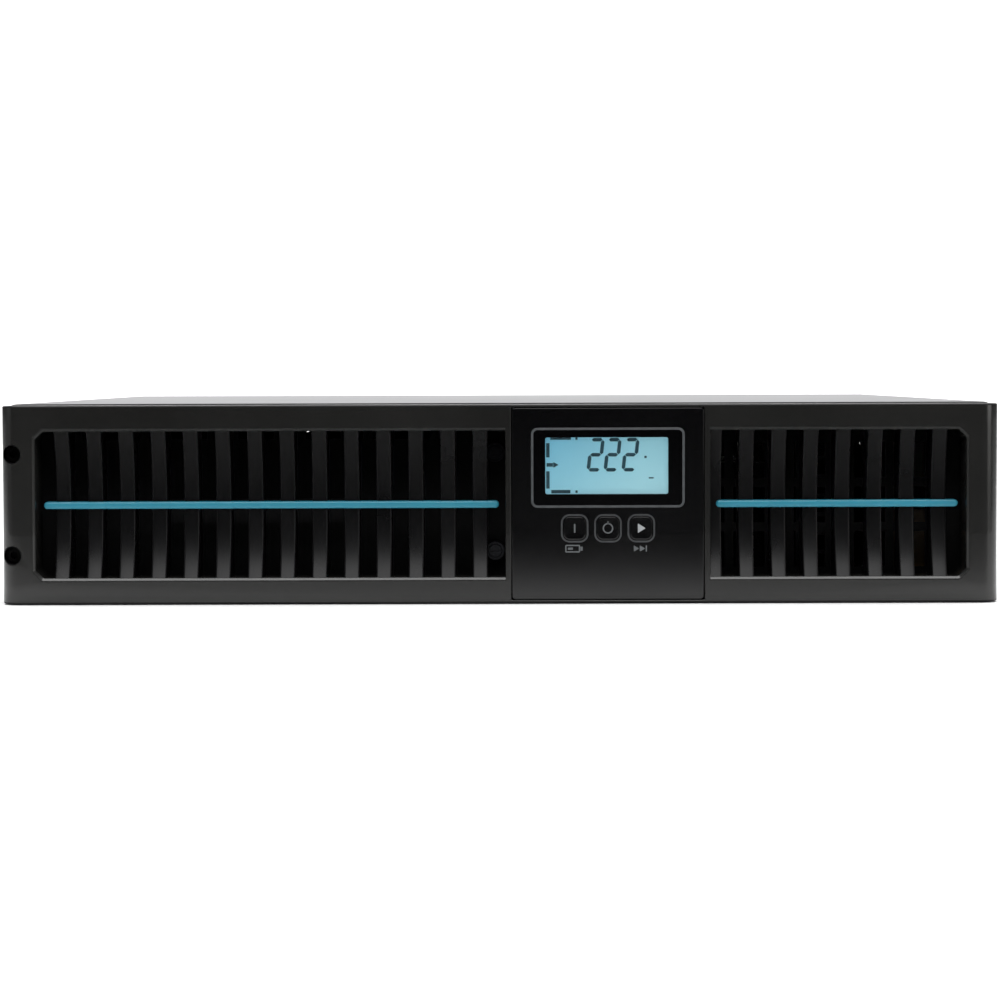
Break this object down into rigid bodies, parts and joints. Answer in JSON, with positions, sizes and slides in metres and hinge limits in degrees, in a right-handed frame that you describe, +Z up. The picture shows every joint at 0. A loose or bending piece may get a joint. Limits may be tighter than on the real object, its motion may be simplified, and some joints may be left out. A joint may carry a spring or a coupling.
{
  "type": "uninterruptible power supply",
  "caption": "Rack or tower uninterruptible power supply with a finned bezel, display module, slide-out battery pack, fans and mains outlets.",
  "frame": {"origin": "middle of the footprint, on the surface the unit stands on", "axes": "+X to the right seen from the front, +Y from the front to the rear, +Z up"},
  "size_m": [0.438, 0.51, 0.088],
  "materials": {
    "chassis_base": "zinc-coated steel sheet",
    "top_cover": "light grey powder coat, fine texture",
    "rear_panel": "black powder coat",
    "front_plate": "black powder coat",
    "battery_bay_wall": "zinc-coated steel sheet",
    "case_screws": "black-zinc countersunk screws",
    "rear_screws": "zinc pan-head screws",
    "battery_socket": "moulded connector",
    "battery_cables": "PVC insulation, one red and one black",
    "main_board": "circuit board with green solder mask",
    "board_fixings": "brass standoffs with screws",
    "heatsinks": "extruded, plain",
    "power_transistors": "moulded packages",
    "bulk_capacitors": "sleeved cans",
    "film_capacitors": "potted boxes",
    "choke_cores": "coated ferrite rings",
    "choke_windings": "enamelled copper",
    "transformer_core": "ferrite",
    "transformer_winding": "taped winding",
    "relays": "moulded cases",
    "control_card": "circuit board with green solder mask",
    "filter_board": "circuit board with green solder mask",
    "filter_choke": "enamelled copper on a ring core",
    "fan_frame_left": "glass-filled moulding",
    "fan_frame_right": "glass-filled moulding",
    "fan_bearings": "ball bearings",
    "fan_guards": "bright nickel-plated wire",
    "fan_screws": "zinc pan-head screws",
    "inlet_housing": "black moulding",
    "inlet_pins": "nickel-plated brass",
    "outlet_block_left": "black moulding",
    "outlet_block_right": "black moulding",
    "outlet_contacts": "folded spring contacts",
    "breaker_body": "black moulding",
    "usb_port": "tinned shell with a pale tongue",
    "serial_port": "tinned shell",
    "network_ports": "black mouldings",
    "epo_plug": "green terminal plug",
    "card_slot_cover": "black powder coat",
    "earth_stud": "plated brass",
    "fan_rotor_left": "black moulding",
    "fan_rotor_right": "black moulding",
    "breaker_button": "white moulding",
    "front_bezel": "black moulding, satin gloss",
    "light_strip_left": "teal light guide, unlit",
    "light_strip_right": "teal light guide, unlit",
    "bezel_screws": "black socket-head screws",
    "display_housing": "black moulding",
    "display_face": "piano-black moulding with printed pale-grey outlines",
    "display_window": "clear acrylic, hard-coated",
    "lcd_panel": "pale blue liquid-crystal panel, backlit",
    "display_board": "circuit board with three key switches",
    "button_on": "black key with a pale mark",
    "button_off": "black key with a pale mark",
    "button_select": "black key with a pale mark",
    "battery_tray": "black powder coat on steel sheet",
    "batteries": "sealed lead-acid blocks in plastic cases",
    "battery_links": "tinned tabs and insulated links",
    "battery_plug": "red moulding with two round pins",
    "tray_screws": "captive thumb screws"
  },
  "bodies": {
    "chassis": {"chassis_base": "chassis_base", "top_cover": "top_cover", "rear_panel": "rear_panel", "front_plate": "front_plate", "battery_bay_wall": "battery_bay_wall", "case_screws": "case_screws", "rear_screws": "rear_screws", "battery_socket": "battery_socket", "battery_cables": "battery_cables", "main_board": "main_board", "board_fixings": "board_fixings", "heatsinks": "heatsinks", "power_transistors": "power_transistors", "bulk_capacitors": "bulk_capacitors", "film_capacitors": "film_capacitors", "choke_cores": "choke_cores", "choke_windings": "choke_windings", "transformer_core": "transformer_core", "transformer_winding": "transformer_winding", "relays": "relays", "control_card": "control_card", "filter_board": "filter_board", "filter_choke": "filter_choke", "fan_frame_left": "fan_frame_left", "fan_frame_right": "fan_frame_right", "fan_bearings": "fan_bearings", "fan_guards": "fan_guards", "fan_screws": "fan_screws", "inlet_housing": "inlet_housing", "inlet_pins": "inlet_pins", "outlet_block_left": "outlet_block_left", "outlet_block_right": "outlet_block_right", "outlet_contacts": "outlet_contacts", "breaker_body": "breaker_body", "usb_port": "usb_port", "serial_port": "serial_port", "network_ports": "network_ports", "epo_plug": "epo_plug", "card_slot_cover": "card_slot_cover", "earth_stud": "earth_stud"},
    "bezel": {"front_bezel": "front_bezel", "light_strip_left": "light_strip_left", "light_strip_right": "light_strip_right", "bezel_screws": "bezel_screws"},
    "display": {"display_housing": "display_housing", "display_face": "display_face", "display_window": "display_window", "lcd_panel": "lcd_panel", "display_board": "display_board"},
    "battery_pack": {"battery_tray": "battery_tray", "batteries": "batteries", "battery_links": "battery_links", "battery_plug": "battery_plug", "tray_screws": "tray_screws"},
    "on_key": {"button_on": "button_on"},
    "off_key": {"button_off": "button_off"},
    "select_key": {"button_select": "button_select"},
    "left_fan": {"fan_rotor_left": "fan_rotor_left"},
    "right_fan": {"fan_rotor_right": "fan_rotor_right"},
    "reset_button": {"breaker_button": "breaker_button"}
  },
  "joints": [
    {"name": "battery_pull", "type": "slide", "parent": "chassis", "child": "battery_pack", "axis": [0, -1, 0], "range_m": [0, 0.36]},
    {"name": "bezel_pull", "type": "slide", "parent": "chassis", "child": "bezel", "axis": [0, -1, 0], "range_m": [0, 0.48]},
    {"name": "display_pull", "type": "slide", "parent": "bezel", "child": "display", "axis": [0, -1, 0], "range_m": [0, 0.03]},
    {"name": "on_press", "type": "slide", "parent": "display", "child": "on_key", "axis": [0, 1, 0], "range_m": [0, 0.0008], "stiffness_N_per_m": 300},
    {"name": "off_press", "type": "slide", "parent": "display", "child": "off_key", "axis": [0, 1, 0], "range_m": [0, 0.0008], "stiffness_N_per_m": 300},
    {"name": "select_press", "type": "slide", "parent": "display", "child": "select_key", "axis": [0, 1, 0], "range_m": [0, 0.0008], "stiffness_N_per_m": 300},
    {"name": "left_fan_spin", "type": "hinge", "parent": "chassis", "child": "left_fan", "pos_m": [-0.172, 0.2373, 0.044], "axis": [0, 1, 0], "continuous": true},
    {"name": "right_fan_spin", "type": "hinge", "parent": "chassis", "child": "right_fan", "pos_m": [-0.09, 0.2373, 0.044], "axis": [0, 1, 0], "continuous": true},
    {"name": "breaker_reset", "type": "slide", "parent": "chassis", "child": "reset_button", "axis": [0, 1, 0], "range_m": [0, 0.003]}
  ],
  "couplings": [
    {"joint": "bezel_pull", "follows": "battery_pull", "ratio": 1.3333}
  ]
}
